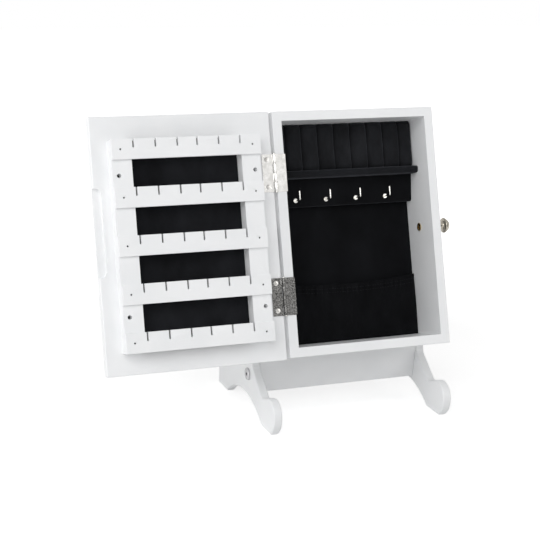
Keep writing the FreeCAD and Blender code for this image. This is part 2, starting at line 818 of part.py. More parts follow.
def make_pocket():
    """Gathered elastic pocket on the lower back: closed below, open at the top."""
    low = -inner_top + s["soft_gap"]
    high = low + s["pocket_height"]
    side = inner_side - s["soft_gap"]
    back = lining_face - s["soft_gap"]
    cloth = s["pocket_cloth"]
    belly = low + s["pocket_belly_height"]
    outside = [(low, s["pocket_foot"]), (belly, s["pocket_belly"]), (high, 1)]
    inside = [(low + cloth, s["pocket_foot"]), (belly, s["pocket_belly"]), (high + cloth, 1)]
    outer = Part.makeLoft([pocket_wire(z, s["pocket_bulge"] * reach, side, back)
                           for z, reach in outside], True, True)
    inner = Part.makeLoft([pocket_wire(z, s["pocket_bulge"] * reach - cloth, side - cloth,
                                       back - cloth) for z, reach in inside], True, True)
    keep("pocket", solid_feature("pocket", outer.cut(inner)), cabinet_frame)


# ---------------------------------------------------------------- door

hinge_x = -half_width - s["hinge_axis_side"]
hinge_y = front - s["hinge_axis_front"]
door_right = hinge_x - s["hinge_axis_side"]
door_left = door_right - s["door_width"]
door_back = front + s["door_thickness"]
door_bottom = -half_height - s["door_drop"]
rack_left = door_left + s["rack_margin"]
rack_right = rack_left + s["rail_length"]
rack_bottom = s["rack_rise"] - (RAILS - 1) * s["rail_pitch"] - s["rail_height"]


def door_frame(x, y, z):
    """Frame of a board in the door: its XY plane upright, its thickness to the front."""
    return at(x, y, z, turn(X_AXIS, 90))


def hinge_centres():
    return (s["hinge_spacing"] / 2, -s["hinge_spacing"] / 2)


def door_screw_places():
    """Hinge screws in the door, as x and z."""
    return [(hinge_x - s["hinge_screw_inset"], centre + offset) for centre in hinge_centres()
            for offset in (s["hinge_screw_spacing"] / 2, -s["hinge_screw_spacing"] / 2)]


def case_screw_places():
    """Hinge screws in the cabinet's left wall, as y and z."""
    return [(front + s["hinge_screw_inset"], centre + offset) for centre in hinge_centres()
            for offset in (s["hinge_screw_spacing"] / 2, -s["hinge_screw_spacing"] / 2)]


def stile_screw_places():
    """Screws that hold the rack to the door, as x and z."""
    middle = s["stile_screw_rise"]
    return [(x, middle + offset) for x in (rack_left + s["stile_screw_inset"],
                                           rack_right - s["stile_screw_inset"])
            for offset in (s["stile_screw_spacing"] / 2, -s["stile_screw_spacing"] / 2)]


def make_door_panel():
    """Door board: mirror recess outside, finger pull along the free edge inside."""
    width, height = s["door_width"], half_height - door_bottom
    body = board_body("door_panel", rectangle(0, 0, width, height), "door_thickness")
    round_edges(body, "door_panel_round", body.Tip, lambda edge: True, "door_round")
    border = s["mirror_border"]
    board_pocket(body, "mirror_recess", [rectangle(border, border, width - border, height - border)],
                 "0 mm", "mirror_recess", upward=True)
    low = s["pull_rise"] - door_bottom - s["pull_length"] / 2
    high = low + s["pull_length"]
    deep = s["pull_width"]
    corners = [((deep, low), s["pull_round"]), ((deep, high), s["pull_round"])]
    outside_low, outside_high = (-OVERSHOOT, low), (-OVERSHOOT, high)
    scoop = rounded_line(outside_low, corners, outside_high) + [line(outside_high, outside_low)]
    board_pocket(body, "finger_pull", [scoop], "door_thickness", "pull_depth")
    holes = [circle(x - door_left, z - door_bottom, s["screw_radius"] + s["fit_gap"])
             for x, z in door_screw_places() + stile_screw_places()]
    board_pocket(body, "door_screw_holes", holes, "door_thickness", "screw_length")
    body.Placement = door_frame(door_left, door_back, door_bottom)
    keep("door_panel", body, cabinet_frame)


def make_mirror():
    size = "door_width - 2 * mirror_border - 2 * mirror_gap"
    tall = "cabinet_height + door_drop - 2 * mirror_border - 2 * mirror_gap"
    inset = s["mirror_border"] + s["mirror_gap"]
    glass = block("mirror", (door_left + inset, door_back - s["mirror_recess"], door_bottom + inset),
                  size, "mirror_glass", tall)
    keep("mirror", glass, cabinet_frame)


def make_door_lining():
    inner_left = rack_left + s["stile_width"]
    card = block("door_lining", (inner_left, front - s["door_lining_thickness"], rack_bottom),
                 "rail_length - 2 * stile_width", "door_lining_thickness",
                 "%d * rail_pitch + rail_height" % (RAILS - 1))
    keep("door_lining", card, cabinet_frame)


def make_stile(node, left):
    """Upright of the earring rack, with sunk screw holes and brad holes."""
    height = s["rack_rise"] - rack_bottom
    body = board_body(node, rectangle(0, 0, s["stile_width"], height), "stile_depth")
    screws = [(x - left, z - rack_bottom) for x, z in stile_screw_places()
              if left < x < left + s["stile_width"]]
    board_pocket(body, node + "_screw_holes", [circle(x, z, s["screw_radius"] + s["fit_gap"])
                 for x, z in screws], "stile_depth", "stile_depth")
    board_pocket(body, node + "_head_holes", [circle(x, z, s["rack_screw_head"] + s["fit_gap"])
                 for x, z in screws], "stile_depth", "rack_screw_sunk + screw_head_height")
    brads = [(x - left, z - rack_bottom) for x, z in brad_places() if left < x < left + s["stile_width"]]
    board_pocket(body, node + "_brad_holes", [circle(x, z, s["brad_radius"] + s["fit_gap"])
                 for x, z in brads], "stile_depth", "brad_length")
    body.Placement = door_frame(left, front, rack_bottom)
    keep(node, body, cabinet_frame)


def rail_bottom(n):
    return s["rack_rise"] - s["rail_height"] - n * s["rail_pitch"]


def brad_places():
    """One brad through each end of each rail, as x and z."""
    return [(x, rail_bottom(n) + s["rail_height"] / 2) for n in range(RAILS)
            for x in (rack_left + s["brad_inset"], rack_right - s["brad_inset"])]


def slot_offsets():
    """Slots from the rail's middle outwards: a narrower gap in the middle."""
    half = [s["slot_middle"] / 2 + n * s["slot_pitch"] for n in range(SLOTS // 2)]
    return [-offset for offset in reversed(half)] + half


def make_rail(n):
    """Earring rail: a thin strip with slots sawn down from its top edge."""
    node = "earring_rail_%d" % (n + 1)
    length, height = s["rail_length"], s["rail_height"]
    body = board_body(node, rectangle(0, 0, length, height), "rail_thickness")
    slots = [rectangle(length / 2 + x - s["slot_width"] / 2, height - s["slot_depth"],
                       length / 2 + x + s["slot_width"] / 2, height + OVERSHOOT) for x in slot_offsets()]
    board_pocket(body, node + "_slots", slots, "rail_thickness", "rail_thickness")
    holes = [circle(x, height / 2, s["brad_radius"] + s["fit_gap"])
             for x in (s["brad_inset"], length - s["brad_inset"])]
    board_pocket(body, node + "_brad_holes", holes, "rail_thickness", "rail_thickness")
    body.Placement = door_frame(rack_left, front - s["stile_depth"], rail_bottom(n))
    keep(node, body, cabinet_frame)


def make_brads():
    face = front - s["stile_depth"] - s["rail_thickness"]
    brads = [rod("brad_%d" % n, (x, face + s["brad_sunk"], z), Y_AXIS, "brad_radius", "brad_length")
             for n, (x, z) in enumerate(brad_places())]
    keep("rail_brads", group("rail_brads", brads), cabinet_frame)


# ---------------------------------------------------------------- screws

CROSS_REACH = 0.55  # how far a cross slot reaches, as a share of the head's radius


def screw_shape(place, into, radius, length):
    """Flat-headed cross screw: place is the middle of its head's rim, into its direction."""
    cone = Part.makeCone(radius, s["screw_radius"], s["screw_head_height"])
    shank = Part.makeCylinder(s["screw_radius"], length)
    rise = s["screw_crown"]
    ball = (radius ** 2 + rise ** 2) / (2 * rise)
    crown = Part.makeSphere(ball, Vector(0, 0, ball - rise))
    crown = crown.common(Part.makeBox(2 * radius, 2 * radius, rise, Vector(-radius, -radius, -rise)))
    shape = cone.fuse([shank, crown])
    reach, width = CROSS_REACH * radius, s["cross_slot_width"]
    for turned in (0, 90):
        slot = Part.makeBox(2 * reach, width, rise + s["cross_slot_depth"],
                            Vector(-reach, -width / 2, -rise))
        slot.rotate(Vector(), Z_AXIS, turned)
        shape = shape.cut(slot)
    shape = shape.removeSplitter()
    shape.Placement = Placement(Vector(*place), turned_to(into))
    return shape


def make_screws():
    """Rack screws sunk in the stiles, and the hinge screws of both leaves."""
    head, length = s["screw_head_radius"], s["screw_length"]
    sunk = front - s["stile_depth"] + s["rack_screw_sunk"]
    rack = [screw_shape((x, sunk, z), Y_AXIS, s["rack_screw_head"], s["rack_screw_length"])
            for x, z in stile_screw_places()]
    keep("rack_screws", solid_feature("rack_screws", Part.makeCompound(rack)), cabinet_frame)
    face = front - s["leaf_thickness"]
    door = [screw_shape((x, face, z), Y_AXIS, head, length) for x, z in door_screw_places()]
    keep("door_hinge_screws", solid_feature("door_hinge_screws", Part.makeCompound(door)), cabinet_frame)
    wall = -inner_side + s["leaf_thickness"]
    case = [screw_shape((wall, y, z), -X_AXIS, head, length) for y, z in case_screw_places()]
    keep("case_hinge_screws", solid_feature("case_hinge_screws", Part.makeCompound(case)), cabinet_frame)


# ---------------------------------------------------------------- hinges

def knuckle_span(centre, n):
    """Bottom and length of a knuckle, counted from the top."""
    pitch = s["hinge_length"] / KNUCKLES
    top = centre + s["hinge_length"] / 2 - n * pitch
    return top - pitch + s["run_gap"] / 2, pitch - s["run_gap"]


def countersink(name, place, into):
    cone = doc.addObject("Part::Cone", name)
    bind(cone, "Radius1", "screw_head_radius + fit_gap")
    bind(cone, "Radius2", "screw_radius + fit_gap")
    bind(cone, "Height", "screw_head_height")
    cone.Placement = at(*place, turned_to(into))
    return cone


def leaf_knuckles(name, centre, owner, side):
    """Tubes of every second knuckle, each with the tab that joins it to the leaf."""
    solids, bores = [], []
    for n in range(owner, KNUCKLES, 2):
        low, length = knuckle_span(centre, n)
        tube = rod("%s_tube_%d" % (name, n), (hinge_x, hinge_y, low), Z_AXIS,
                   "knuckle_radius", "hinge_length / %d - run_gap" % KNUCKLES)
        left = hinge_x if side > 0 else hinge_x - s["knuckle_radius"] - s["run_gap"]
        tab = block("%s_tab_%d" % (name, n), (left, front - s["leaf_thickness"], low),
                    "knuckle_radius + run_gap", "leaf_thickness",
                    "hinge_length / %d - run_gap" % KNUCKLES)
        solids += [tube, tab]
    bores.append(rod(name + "_bore", (hinge_x, hinge_y, centre - s["hinge_length"] / 2), Z_AXIS,
                     "hinge_pin_radius + fit_gap", "hinge_length"))
    return solids, bores


def make_hinge(name, centre):
    """Butt hinge: a flat leaf on the door, a leaf wrapped round the wall's edge, and a pin."""
    low = centre - s["hinge_length"] / 2
    reach = s["knuckle_radius"] + s["run_gap"]
    solids, holes = leaf_knuckles(name + "_door", centre, 0, -1)
    solids.append(block(name + "_door_plate", (hinge_x - s["leaf_width"], front - s["leaf_thickness"],
                  low), "leaf_width - knuckle_radius - run_gap", "leaf_thickness", "hinge_length"))
    for n, (x, z) in enumerate(p for p in door_screw_places() if abs(p[1] - centre) < s["hinge_length"]):
        holes.append(countersink("%s_door_sink_%d" % (name, n),
                                 (x, front - s["leaf_thickness"], z), Y_AXIS))
    keep(name + "_door_leaf", cut(name + "_door_leaf", fuse(name + "_door_solid", solids), holes),
         cabinet_frame)

    solids, holes = leaf_knuckles(name + "_case", centre, 1, 1)
    solids.append(block(name + "_case_plate", (hinge_x + reach, front - s["leaf_thickness"], low),
                  "hinge_axis_side + board + leaf_thickness - knuckle_radius - run_gap",
                  "leaf_thickness", "hinge_length"))
    solids.append(block(name + "_case_flange", (-inner_side, front - s["leaf_thickness"], low),
                  "leaf_thickness", "leaf_flange + leaf_thickness", "hinge_length"))
    for n, (y, z) in enumerate(p for p in case_screw_places() if abs(p[1] - centre) < s["hinge_length"]):
        holes.append(countersink("%s_case_sink_%d" % (name, n),
                                 (-inner_side + s["leaf_thickness"], y, z), -X_AXIS))
    keep(name + "_case_leaf", cut(name + "_case_leaf", fuse(name + "_case_solid", solids), holes),
         cabinet_frame)

    head = s["hinge_pin_head"]
    pin = fuse(name + "_pin", [
        rod(name + "_pin_rod", (hinge_x, hinge_y, low - head), Z_AXIS, "hinge_pin_radius",
            "hinge_length + 2 * hinge_pin_head"),
        rod(name + "_pin_top", (hinge_x, hinge_y, low + s["hinge_length"]), Z_AXIS,
            "hinge_pin_head_radius", "hinge_pin_head"),
        rod(name + "_pin_foot", (hinge_x, hinge_y, low - head), Z_AXIS,
            "hinge_pin_head_radius", "hinge_pin_head")])
    keep(name + "_pin", pin, cabinet_frame)


# ---------------------------------------------------------------- build and write

def build():
    make_leg("left_leg", -1)
    make_leg("right_leg", 1)
    make_stretcher()
    make_stand_fasteners()
    make_knob("left_pivot_knob", -1)
    make_knob("right_pivot_knob", 1)
    make_pivot_rings()
    make_case()
    make_back()
    make_cushion()
    make_shelf()
    make_hook_board()
    make_hooks()
    make_pocket()
    make_door_panel()
    make_mirror()
    make_door_lining()
    make_stile("left_stile", rack_left)
    make_stile("right_stile", rack_right - s["stile_width"])
    for n in range(RAILS):
        make_rail(n)
    make_brads()
    for name, centre in zip(("upper_hinge", "lower_hinge"), hinge_centres()):
        make_hinge(name, centre)
    make_screws()
    doc.recompute()


def check():
    """Stop before writing if any object failed or any sub-part's shape is bad."""
    failed = [thing.Name for thing in doc.Objects if "Invalid" in thing.State or "Error" in thing.State]
    if failed:
        raise RuntimeError("failed objects: " + ", ".join(failed))
    for node, thing in subparts:
        if thing.Shape.isNull() or not thing.Shape.isValid() or not thing.Shape.Solids:
            raise RuntimeError("bad shape: " + node)


def write():
    os.makedirs("parts", exist_ok=True)
    for node, thing in subparts:
        thing.Shape.exportStep(os.path.join("parts", node + ".step"))
    print(len(subparts), "sub-parts written")


build()
check()
write()
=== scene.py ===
import json
import math
import random

import bmesh
import bpy
from mathutils import Matrix, Vector, noise


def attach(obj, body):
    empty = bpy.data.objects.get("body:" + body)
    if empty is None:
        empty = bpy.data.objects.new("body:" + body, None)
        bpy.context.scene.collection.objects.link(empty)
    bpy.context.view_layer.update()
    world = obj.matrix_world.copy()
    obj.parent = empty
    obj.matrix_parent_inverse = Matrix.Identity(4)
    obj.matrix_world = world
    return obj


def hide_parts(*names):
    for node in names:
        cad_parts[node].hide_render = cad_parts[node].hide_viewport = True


# Table-top jewelry cabinet with a mirror door, seen with the door open.
# Metres, in the row frame: X to the right, Y to the back, Z up, the table at Z = 0.
# "Cabinet" coordinates start at the middle of the tilting axis and lean back with the cabinet.

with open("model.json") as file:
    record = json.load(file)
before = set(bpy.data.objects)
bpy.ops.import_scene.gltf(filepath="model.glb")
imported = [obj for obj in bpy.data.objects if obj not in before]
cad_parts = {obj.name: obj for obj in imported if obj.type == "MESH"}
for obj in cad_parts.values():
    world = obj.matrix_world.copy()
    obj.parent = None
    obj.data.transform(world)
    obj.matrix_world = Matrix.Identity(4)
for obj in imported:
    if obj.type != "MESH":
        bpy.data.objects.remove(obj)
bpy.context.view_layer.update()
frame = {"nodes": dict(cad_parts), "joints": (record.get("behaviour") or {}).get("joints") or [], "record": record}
nodes = frame["nodes"]
joints = {joint["name"]: joint for joint in frame["joints"]}
MM = 0.001

PIVOT = Vector(joints["cabinet_tilt"]["pos_m"])
DOOR_AXIS = Vector(joints["door_swing"]["axis"])
LEAN = math.atan2(DOOR_AXIS.y, DOOR_AXIS.z)
CABINET = Matrix.Translation(PIVOT) @ Matrix.Rotation(-LEAN, 4, "X")
TO_CABINET = CABINET.inverted()


def cabinet_box(node):
    """Low and high corner of a CAD node in cabinet coordinates."""
    corners = [TO_CABINET @ vertex.co for vertex in nodes[node].data.vertices]
    return (Vector([min(c[k] for c in corners) for k in range(3)]),
            Vector([max(c[k] for c in corners) for k in range(3)]))


# ---------------------------------------------------------------- materials

def new_material(name, **values):
    """A Principled material with plain values on its own sockets."""
    mat = bpy.data.materials.new(name)
    mat.use_nodes = True
    shader = mat.node_tree.nodes["Principled BSDF"]
    for socket, value in values.items():
        shader.inputs[socket.replace("_", " ")].default_value = value
    return mat


def add(mat, kind, links=None, **settings):
    """Add a node; links maps its inputs to sockets, settings are properties or input values."""
    node = mat.node_tree.nodes.new(kind)
    for key, value in settings.items():
        if key in node.inputs:
            node.inputs[key].default_value = value
        elif hasattr(node, key):
            setattr(node, key, value)
    for key, source in (links or {}).items():
        mat.node_tree.links.new(source, node.inputs[key])
    return node


def place(mat, stretch=(1, 1, 1)):
    """Object coordinates, stretched along the axes."""
    coords = add(mat, "ShaderNodeTexCoord")
    mapping = add(mat, "ShaderNodeMapping", {"Vector": coords.outputs["Object"]}, Scale=stretch)
    return mapping.outputs["Vector"]


def noise_value(mat, where, scale, detail=3.0, roughness=0.5):
    node = add(mat, "ShaderNodeTexNoise", {"Vector": where}, Scale=scale, Detail=detail,
               Roughness=roughness)
    return node.outputs["Fac"]


def spread(mat, value, low, high, start=0.35, stop=0.65):
    """Stretch a 0 to 1 pattern to a range of plain numbers."""
    node = add(mat, "ShaderNodeMapRange", {"Value": value})
    ends = {"From Min": start, "From Max": stop, "To Min": low, "To Max": high}
    for socket, number in ends.items():
        node.inputs[socket].default_value = number
    return node.outputs["Result"]


def blend_colours(mat, value, first, second, start=0.35, stop=0.65):
    ramp = add(mat, "ShaderNodeValToRGB", {"Fac": value})
    ramp.color_ramp.elements[0].position = start
    ramp.color_ramp.elements[0].color = (*first, 1)
    ramp.color_ramp.elements[1].position = stop
    ramp.color_ramp.elements[1].color = (*second, 1)
    return ramp.outputs["Color"]


def feed(mat, **sources):
    shader = mat.node_tree.nodes["Principled BSDF"]
    for socket, source in sources.items():
        mat.node_tree.links.new(source, shader.inputs[socket.replace("_", " ")])


def bumped(mat, layers):
    """Stack bumps, each given as its height, strength and distance in metres."""
    normal = None
    for height, strength, distance in layers:
        links = {"Height": height}
        if normal:
            links["Normal"] = normal
        node = add(mat, "ShaderNodeBump", links, Strength=strength, Distance=distance)
        normal = node.outputs["Normal"]
    feed(mat, Normal=normal)


def lacquer():
    """Sprayed satin white lacquer over smooth board."""
    mat = new_material("white_lacquer_paint", Specular_IOR_Level=0.45, Coat_Weight=0.12,
                       Coat_Roughness=0.25)
    where = place(mat)
    cloud = noise_value(mat, where, 22, 4)
    peel = noise_value(mat, where, 620, 2)
    dust = noise_value(mat, where, 2600, 1)
    feed(mat, Base_Color=blend_colours(mat, cloud, (0.835, 0.845, 0.855), (0.865, 0.872, 0.88)),
         Roughness=spread(mat, cloud, 0.34, 0.44))
    bumped(mat, [(peel, 0.09, 0.0004), (dust, 0.05, 0.0001)])
    return mat


def back_board():
    """Thin painted hardboard: flatter white, with the felted grain showing through."""
    mat = new_material("painted_hardboard", Specular_IOR_Level=0.3)
    where = place(mat)
    cloud = noise_value(mat, where, 35, 5, 0.6)
    felt = noise_value(mat, place(mat, (1, 1, 1.6)), 900, 4, 0.7)
    feed(mat, Base_Color=blend_colours(mat, cloud, (0.72, 0.72, 0.71), (0.79, 0.79, 0.78)),
         Roughness=spread(mat, felt, 0.55, 0.75))
    bumped(mat, [(felt, 0.3, 0.0004)])
    return mat


def velvet(name, dark, light, nap=26, sheen=0.1):
    """Short black pile: brushed patches, a tight fibre grain and a faint cool sheen."""
    mat = new_material(name, Roughness=0.92, Specular_IOR_Level=0.08, Sheen_Weight=sheen,
                       Sheen_Roughness=0.45, Sheen_Tint=(0.72, 0.76, 0.86, 1))
    where = place(mat)
    patches = noise_value(mat, place(mat, (1, 1, 0.6)), nap, 5, 0.6)
    fibre = noise_value(mat, where, 3200, 3, 0.7)
    tuft = noise_value(mat, where, 900, 2, 0.6)
    mixed = add(mat, "ShaderNodeMath", {0: patches, 1: fibre}, operation="MULTIPLY").outputs[0]
    feed(mat, Base_Color=blend_colours(mat, mixed, dark, light, 0.12, 0.42))
    bumped(mat, [(patches, 0.15, 0.001), (tuft, 0.25, 0.0004), (fibre, 0.5, 0.0002)])
    return mat


def metal(name, dark, light, low, high, grain=(1, 1, 1), scratch=0.12, stain_and_reflection_scale=140):
    """Plated or plain metal with slight stains and fine scratches; in the darkened and lightened copies of the
    plating the same mottle is painted reflection.
    """
    mat = new_material(name, Metallic=1.0)
    where = place(mat)
    stain_and_reflection_mottle = noise_value(mat, where, stain_and_reflection_scale, 4, 0.6)
    lines = noise_value(mat, place(mat, grain), 1500, 3, 0.6)
    feed(mat, Base_Color=blend_colours(mat, stain_and_reflection_mottle, dark, light),
         Roughness=spread(mat, stain_and_reflection_mottle, low, high))
    bumped(mat, [(lines, scratch, 0.0001)])
    return mat


def mirror_glass():
    """Silvered glass with the faintest haze."""
    mat = new_material("silvered_glass", Metallic=1.0, Coat_Weight=0.3, Coat_Roughness=0.02)
    haze = noise_value(mat, place(mat), 18, 4, 0.6)
    ripple = noise_value(mat, place(mat), 9, 1)
    feed(mat, Base_Color=blend_colours(mat, haze, (0.86, 0.885, 0.88), (0.9, 0.915, 0.91)),
         Roughness=spread(mat, haze, 0.015, 0.035))
    bumped(mat, [(ripple, 0.02, 0.0005)])
    return mat


def beech():
    """End grain and side grain of turned dowels."""
    mat = new_material("beech_wood", Specular_IOR_Level=0.3)
    where = place(mat, (0.25, 1, 1))
    grain = noise_value(mat, where, 700, 5, 0.65)
    feed(mat, Base_Color=blend_colours(mat, grain, (0.42, 0.27, 0.15), (0.62, 0.45, 0.29)),
         Roughness=spread(mat, grain, 0.5, 0.7))
    bumped(mat, [(grain, 0.25, 0.0003)])
    return mat


def nylon():
    """Moulded white nylon of the spacers."""
    mat = new_material("moulded_nylon", Subsurface_Weight=0.05, Subsurface_Radius=(0.001,) * 3)
    cloud = noise_value(mat, place(mat), 220, 3)
    pits = noise_value(mat, place(mat), 2400, 2)
    feed(mat, Base_Color=blend_colours(mat, cloud, (0.7, 0.7, 0.67), (0.78, 0.78, 0.76)),
         Roughness=spread(mat, cloud, 0.4, 0.52))
    bumped(mat, [(pits, 0.12, 0.0001)])
    return mat


materials = {
    "white_lacquer": lacquer(),
    "back_board": back_board(),
    "black_velvet": velvet("black_velvet_board", (0.002, 0.0021, 0.0025), (0.0075, 0.008, 0.0095),
                           sheen=0.07),
    "bright_nickel": metal("bright_nickel_plate", (0.60, 0.585, 0.55), (0.74, 0.73, 0.70),
                           0.10, 0.2),
    "zinc_steel": metal("zinc_plated_steel", (0.42, 0.42, 0.43), (0.56, 0.56, 0.57), 0.28, 0.42),
    # Near-black base colour; on the plated connector bolt heads this darkness is painted dark reflection.
    "black_steel": metal("near_black_steel_painted_reflection", (0.012, 0.012, 0.013), (0.035, 0.035, 0.038), 0.4, 0.6),
    "brass": metal("turned_brass", (0.50, 0.36, 0.15), (0.68, 0.52, 0.26), 0.2, 0.34, (1, 4, 4)),
    "mirror_glass": mirror_glass(),
    "beech": beech(),
    "nylon": nylon(),
}
# Painted shade: a darker copy of the black velvet for the gathered pocket.
pocket_velvet_painted_shade = velvet("black_velvet_pocket_painted_shade", (0.0015, 0.0016, 0.002), (0.0065, 0.0068, 0.008),
                     40, 0.05)
# Painted light: a lighter copy of the black velvet for the ring cushion rolls.
rolls_velvet_painted_light = velvet("black_velvet_rolls_painted_light", (0.0055, 0.0057, 0.0065), (0.022, 0.023, 0.026),
                      40, 0.14)
# Painted light: a lighter copy of the black velvet for the ring shelf and the door lining.
shelf_and_lining_velvet_painted_light = velvet("black_velvet_shelf_and_lining_painted_light", (0.0045, 0.0047, 0.0054), (0.017, 0.018, 0.021),
                       sheen=0.13)
thread = velvet("black_thread", (0.006, 0.006, 0.007), (0.022, 0.023, 0.026), 300)
# Painted reflection: the knobs' nickel plating darkened well below real plating, for the dark surroundings it
# reflects.
knob_metal_painted_dark_reflection = metal("knob_plate_painted_dark_reflection", (0.30, 0.275, 0.23), (0.42, 0.39, 0.335), 0.08, 0.13)
# Painted light: a lighter copy of the hinge plating for the upper hinge, the lit twin of the darkened lower hinge.
upper_hinge_metal_painted_light = metal("upper_hinge_plate_painted_light", (0.66, 0.65, 0.625), (0.76, 0.75, 0.73),
                           0.16, 0.24)
# Painted reflection: the same plating as the upper hinge, darkened far below real plating for the dark
# surroundings that this hinge seems to reflect; its fine mottle paints the grain of that reflection.
lower_hinge_metal_painted_dark_reflection = metal("lower_hinge_plate_painted_dark_reflection", (0.015, 0.0148, 0.0142), (0.26, 0.256, 0.248),
                           0.2, 0.34, scratch=0.5, stain_and_reflection_scale=900)
# Painted shade: a darker copy of the nickel plating for the hinge screws.
screw_metal_painted_shade = metal("screw_plate_painted_shade", (0.34, 0.335, 0.32), (0.52, 0.51, 0.49), 0.12, 0.2)
special = {
    "case_hinge_screws": screw_metal_painted_shade,
    "door_hinge_screws": screw_metal_painted_shade,
    "ring_shelf": shelf_and_lining_velvet_painted_light,
    "door_lining": shelf_and_lining_velvet_painted_light,
    "left_pivot_knob": knob_metal_painted_dark_reflection,
    "right_pivot_knob": knob_metal_painted_dark_reflection,
    "upper_hinge_door_leaf": upper_hinge_metal_painted_light,
    "upper_hinge_case_leaf": upper_hinge_metal_painted_light,
    "lower_hinge_door_leaf": lower_hinge_metal_painted_dark_reflection,
    "lower_hinge_case_leaf": lower_hinge_metal_painted_dark_reflection,
}


def dress_nodes():
    """Give every CAD node the material of its slot, or the one listed for it in special."""
    for entry in frame["record"]["subparts"]:
        node = nodes[entry["node"]]
        node.data.materials.clear()
        node.data.materials.append(special.get(entry["node"], materials[entry["material_slot"]]))


def soften(names, width, segments=2):
    """Small rounded edges on CAD nodes, for the highlight that real edges catch."""
    for name in names:
        weld = nodes[name].modifiers.new("weld", "WELD")
        weld.merge_threshold = 1e-6
        bevel = nodes[name].modifiers.new("edges", "BEVEL")
        bevel.width = width
        bevel.segments = segments
        bevel.limit_method = "ANGLE"
        bevel.angle_limit = math.radians(50)
        bevel.harden_normals = False


# ---------------------------------------------------------------- mesh helpers

def cabinet_mesh(name, mesh_builder, material):
    """A smooth piece drawn in cabinet coordinates, moved into the row frame and set on the cabinet."""
    mesh = bpy.data.meshes.new(name)
    shape = bmesh.new()
    mesh_builder(shape)
    bmesh.ops.recalc_face_normals(shape, faces=shape.faces)
    shape.to_mesh(mesh)
    shape.free()
    mesh.transform(CABINET)
    mesh.materials.append(material)
    piece = bpy.data.objects.new(name, mesh)
    bpy.context.scene.collection.objects.link(piece)
    for polygon in mesh.polygons:
        polygon.use_smooth = True
    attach(piece, "cabinet")
    return piece


def grid_vertices(shape, columns, rows, point):
    """Vertices of a grid; point(u, v) gives each place for u and v from 0 to 1."""
    return [[shape.verts.new(point(i / columns, j / rows)) for i in range(columns + 1)]
            for j in range(rows + 1)]


def grid_faces(shape, lines):
    for lower, upper in zip(lines, lines[1:]):
        for a, b, c, d in zip(lower, lower[1:], upper[1:], upper):
            shape.faces.new((a, b, c, d))


# ---------------------------------------------------------------- ring cushion

ROLLS = 9
ROLL_PITCH = 20.8 * MM
VALLEY = 6.0 * MM
END_DRAW = 3.2 * MM
END_SHARE = 0.09            # share of a roll's length over which its ends are drawn in
EDGE_CROWDING = 0.35        # how far the mesh lines gather at a roll's steep edges


def roll_edges(low_x, high_x):
    """Where one roll ends and the next begins."""
    middle = (low_x + high_x) / 2
    inner = [middle + (n - (ROLLS - 2) / 2) * ROLL_PITCH for n in range(ROLLS - 1)]
    return [low_x] + inner + [high_x]


def ring_cushion():
    """Nine upright velvet rolls side by side, sewn down in the valleys between them."""
    low, high = cabinet_box("ring_cushion")
    edges = roll_edges(low.x, high.x)
    chance = random.Random(4)
    swell = [chance.uniform(-0.5, 0.4) * MM for _ in range(ROLLS)]
    lean = [chance.uniform(-0.7, 0.7) * MM for _ in range(ROLLS + 1)]
    steps, rows = 14, 30

    def front(n, u, v):
        left = edges[n] + (lean[n] * math.sin(math.pi * v) if 0 < n else 0)
        right = edges[n + 1] + (lean[n + 1] * math.sin(math.pi * v) if n < ROLLS - 1 else 0)
        x = left + (right - left) * (0.5 - 0.5 * math.cos(math.pi * u)) * EDGE_CROWDING \
            + (right - left) * u * (1 - EDGE_CROWDING)
        crown = math.sqrt(max(0.0, 1 - (2 * u - 1) ** 2)) ** 0.8
        end = min(v, 1 - v)
        drawn = END_DRAW * max(0.0, 1 - end / END_SHARE) ** 2
        wave = 0.35 * MM * noise.noise(Vector((x * 45, v * 3.1, n * 1.7)))
        y = low.y + VALLEY * (1 - crown) + drawn - swell[n] * math.sin(math.pi * v) * crown + wave
        z = low.z + (high.z - low.z) * v
        return Vector((x, max(y, low.y - 0.3 * MM), z))

    def build(shape):
        def point(u, v):
            along = min(u * ROLLS, ROLLS - 1e-9)
            return front(int(along), along - int(along), v)
        lines = grid_vertices(shape, steps * ROLLS, rows, point)
        grid_faces(shape, lines)
        rim = lines[0] + [line[-1] for line in lines[1:]] + lines[-1][-2::-1] \
            + [line[0] for line in lines[-2:0:-1]]
        back = [shape.verts.new(Vector((v.co.x, high.y, v.co.z))) for v in rim]
        for n, vertex in enumerate(rim):
            m = (n + 1) % len(rim)
            shape.faces.new((vertex, back[n], back[m], rim[m]))
        shape.faces.new(back)

    piece = cabinet_mesh("ring_cushion_rolls", build, rolls_velvet_painted_light)
    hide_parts("ring_cushion")
    return piece


# ---------------------------------------------------------------- gathered pocket

FOLDS = 12
MOUTH = (-57.5 * MM, -61.5 * MM, -55.5 * MM)
CLOTH = 0.9 * MM
BEHIND_CLOTH = 1.2 * MM
SIDE_DEPTH = 3.2 * MM
MIDDLE_DEPTH = 5.0 * MM
PUCKER_DEPTH = 0.5 * MM
CREASE_DEPTH = 0.45 * MM
STITCHES = 54
STITCH_ROWS = {"pocket_stitches_upper": 0.93, "pocket_stitches_lower": 0.865}
THREAD_RADIUS = 0.28 * MM
THREAD_STAND = 0.75 * MM


def pocket_ridges():
    """Fold places across the pocket: middle, width, depth and the drift from top to bottom."""
    chance = random.Random(11)
    return [((n + 0.5 + chance.uniform(-0.22, 0.22)) / FOLDS, chance.uniform(0.022, 0.034),
             chance.uniform(0.9, 2.0) * MM, chance.uniform(-0.035, 0.035)) for n in range(FOLDS)]


